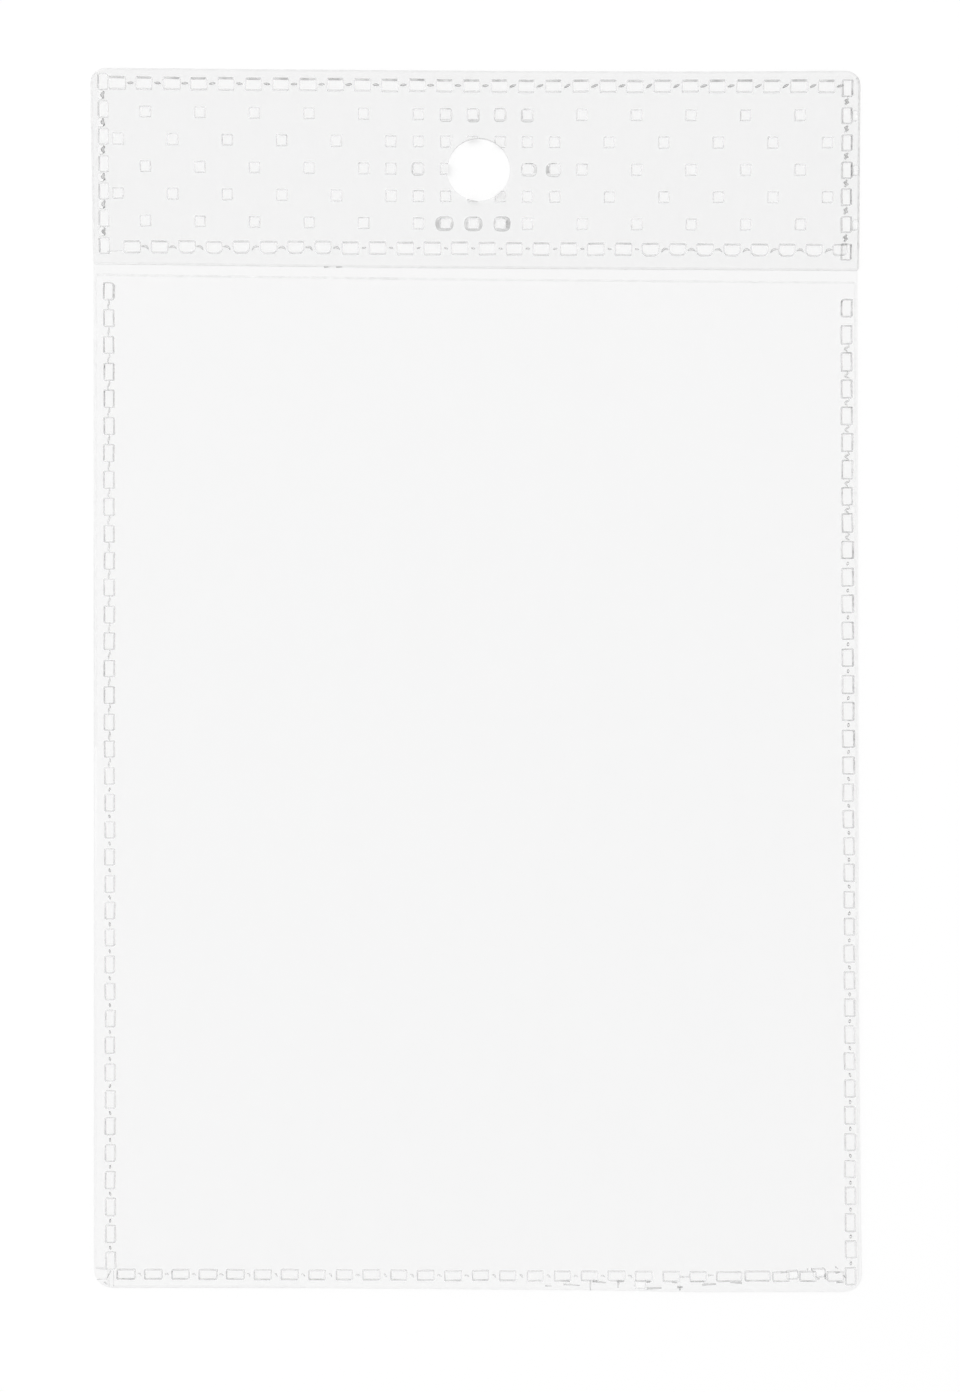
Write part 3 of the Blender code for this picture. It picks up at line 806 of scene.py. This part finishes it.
# Double strikes: round the hole the spot die has come down twice on some spots, a little off
# the first time, and left a ring or a crescent of pushed-up vinyl in the header film. Their
# walls are darkened by painted shade.
# Each one's x, y, length, width and corners, then its walls and the painted shade on each wall.
double_rows = [
    row((x, y), (PITCH, 0.0), 1, HEADER_HIGH, header_weld, 91 + i, walls, greys, length=length,
        width=width, depth=0.08, upper_corner=corner, lower_corner=corner)
    for i, (x, y, length, width, corner, walls, greys) in enumerate((
        (-4.84, 69.3, 2.7, 2.15, 0.9, (0.28, 0.4, 0.65, 0.5), (0.4, 0.6, 0.55, 0.55)),
        (-0.5, 69.3, 2.7, 2.15, 0.9, (0.36, 0.34, 0.65, 0.5), (0.68, 0.68, 0.58, 0.65)),
        (3.85, 69.3, 2.6, 2.2, 0.85, (0.3, 0.38, 0.4, 0.7), (0.55, 0.68, 0.55, 0.7)),
        (-4.65, 85.8, 1.95, 1.9, 0.5, (0.3, 0.22, 0.25, 0.22), (0.55, 0.25, 0.4, 0.3)),
        (-0.5, 85.75, 1.95, 1.95, 0.55, (0.22, 0.28, 0.22, 0.3), (0.4, 0.55, 0.45, 0.5)),
        (3.6, 85.8, 1.95, 2.0, 0.6, (0.32, 0.22, 0.22, 0.25), (0.55, 0.35, 0.35, 0.45)),
        (7.75, 85.7, 1.9, 1.95, 0.5, (0.2, 0.3, 0.28, 0.2), (0.4, 0.4, 0.5, 0.25)),
        (-8.85, 77.6, 1.95, 1.95, 0.6, (0.22, 0.22, 0.22, 0.2), (0.35, 0.3, 0.5, 0.2)),
        (8.0, 77.5, 2.35, 1.9, 0.7, (0.2, 0.2, 0.25, 0.5), (0.35, 0.2, 0.55, 0.6)),
        (11.65, 77.45, 2.3, 1.9, 0.75, (0.16, 0.2, 0.55, 0.16), (0.12, 0.25, 0.6, 0.1))))]
double_strikes = join([grown("double_strikes", weld_row, values) for values in double_rows])
double_cutters = [grown("double_cutter", weld_row, cutter_of(values)) for values in double_rows]
spot_cutters = [spot_cutter, *double_cutters]


# Windows: every weld is fused right through, so each film is cut away where a weld takes its
# place, and the hook hole is punched through the header and the back together.
def cut_away(piece, cutters):
    """Cuts the cutters' shapes out of a piece and leaves it a plain mesh."""
    tools = bpy.data.collections.new("tools")
    for cutter in cutters:
        tools.objects.link(cutter)
    cut = piece.modifiers.new("windows", "BOOLEAN")
    cut.operation, cut.solver, cut.operand_type = "DIFFERENCE", "MANIFOLD", "COLLECTION"
    cut.collection = tools
    settled(piece)
    bpy.data.collections.remove(tools)


cut_away(front_sheet, pocket_cutters)
cut_away(header_strip, [*header_cutters, *spot_cutters, punch])
cut_away(header_spots, [punch])
cut_away(double_strikes, [spot_cutter])
cut_away(back_sheet, [*pocket_cutters, *header_cutters, *spot_cutters, punch])
for cutter in (*pocket_cutters, *header_cutters, *spot_cutters, punch):
    bpy.data.objects.remove(cutter)
join([header_strip, header_spots, double_strikes])


# Table: a plain white surface under the pocket, with soft light from all round and one large
# lamp up to the left.
TABLE_SIZE = 6000.0
TABLE_GAP = 0.1
TABLE_WHITE = (0.86, 0.86, 0.86, 1.0)
TABLE_GLOW = 0.19
ROOM_LIGHT = 0.82
MIRRORED_FOOT, MIRRORED_TOP, MIRRORED_REACH = 0.5, 1.0, 0.7
SOFTBOX_PLACE = Vector((-1.0, 0.8, 1.8))
SOFTBOX_SIZE = 1.6
SOFTBOX_POWER = 9.0

bm = bmesh.new()
bmesh.ops.create_grid(bm, x_segments=1, y_segments=1, size=TABLE_SIZE / 2)
bmesh.ops.translate(bm, verts=bm.verts, vec=(0.0, 0.0, -TABLE_GAP))
table = show("table", bm)
table_paint = bpy.data.materials.new("table_paint")
table_paint.use_nodes = True
paint = table_paint.node_tree
rays = paint.nodes.new("ShaderNodeLightPath").outputs
seen = work_out(paint, "MAXIMUM", rays["Is Camera Ray"],
                work_out(paint, "MAXIMUM", rays["Is Glossy Ray"], rays["Is Transmission Ray"]))
fill(paint, paint.nodes["Principled BSDF"], {
    "Base Color": TABLE_WHITE, "Roughness": 0.9, "Specular IOR Level": 0.0,
    "Emission Color": (1.0, 1.0, 1.0, 1.0),
    "Emission Strength": work_out(paint, "MULTIPLY", seen, TABLE_GLOW)})
table.data.materials.append(table_paint)

world = bpy.data.worlds.new("studio")
world.use_nodes = True
room = world.node_tree
rays = room.nodes.new("ShaderNodeLightPath").outputs
height = room.nodes.new("ShaderNodeSeparateXYZ")
fill(room, height, {"Vector": add(room, "ShaderNodeTexCoord", output="Generated")})
walls = spread(room, height.outputs["Z"], 0.0, MIRRORED_REACH, MIRRORED_FOOT, MIRRORED_TOP)
mirrored = work_out(
    room, "MULTIPLY", rays["Is Glossy Ray"], work_out(room, "SUBTRACT", walls, ROOM_LIGHT))
fill(room, room.nodes["Background"], {
    "Color": (1.0, 1.0, 1.0, 1.0),
    "Strength": work_out(room, "ADD", work_out(room, "ADD", ROOM_LIGHT, mirrored),
                         work_out(room, "MULTIPLY", rays["Is Camera Ray"], 1.0 - ROOM_LIGHT))})
bpy.context.scene.world = world

lamp = bpy.data.lights.new("softbox", "AREA")
lamp.size = SOFTBOX_SIZE
lamp.energy = SOFTBOX_POWER
softbox = bpy.data.objects.new("softbox", lamp)
softbox.location = SOFTBOX_PLACE
softbox.rotation_euler = (-SOFTBOX_PLACE).to_track_quat("-Z", "Y").to_euler()
bpy.context.scene.collection.objects.link(softbox)


# Camera: straight above the pocket, with a long lens far enough back that the pocket's sides
# stay square.
CAMERA_MIDDLE = (0.53, -2.35)
FRAME_HEIGHT = 211.1
LENS_LENGTH, SENSOR_SIZE = 100.0, 36.0

lens = bpy.data.cameras.new("camera")
lens.lens = LENS_LENGTH
lens.sensor_width = SENSOR_SIZE
lens.clip_start = 0.01
camera = bpy.data.objects.new("camera", lens)
camera.location = (
    CAMERA_MIDDLE[0] * MM, CAMERA_MIDDLE[1] * MM,
    (FRAME_HEIGHT * LENS_LENGTH / SENSOR_SIZE + FRONT_HIGH) * MM)
bpy.context.scene.collection.objects.link(camera)
bpy.context.scene.camera = camera
bpy.context.scene.view_settings.view_transform = "Standard"
bpy.context.scene.cycles.transparent_max_bounces = 32

bpy.context.view_layer.update()
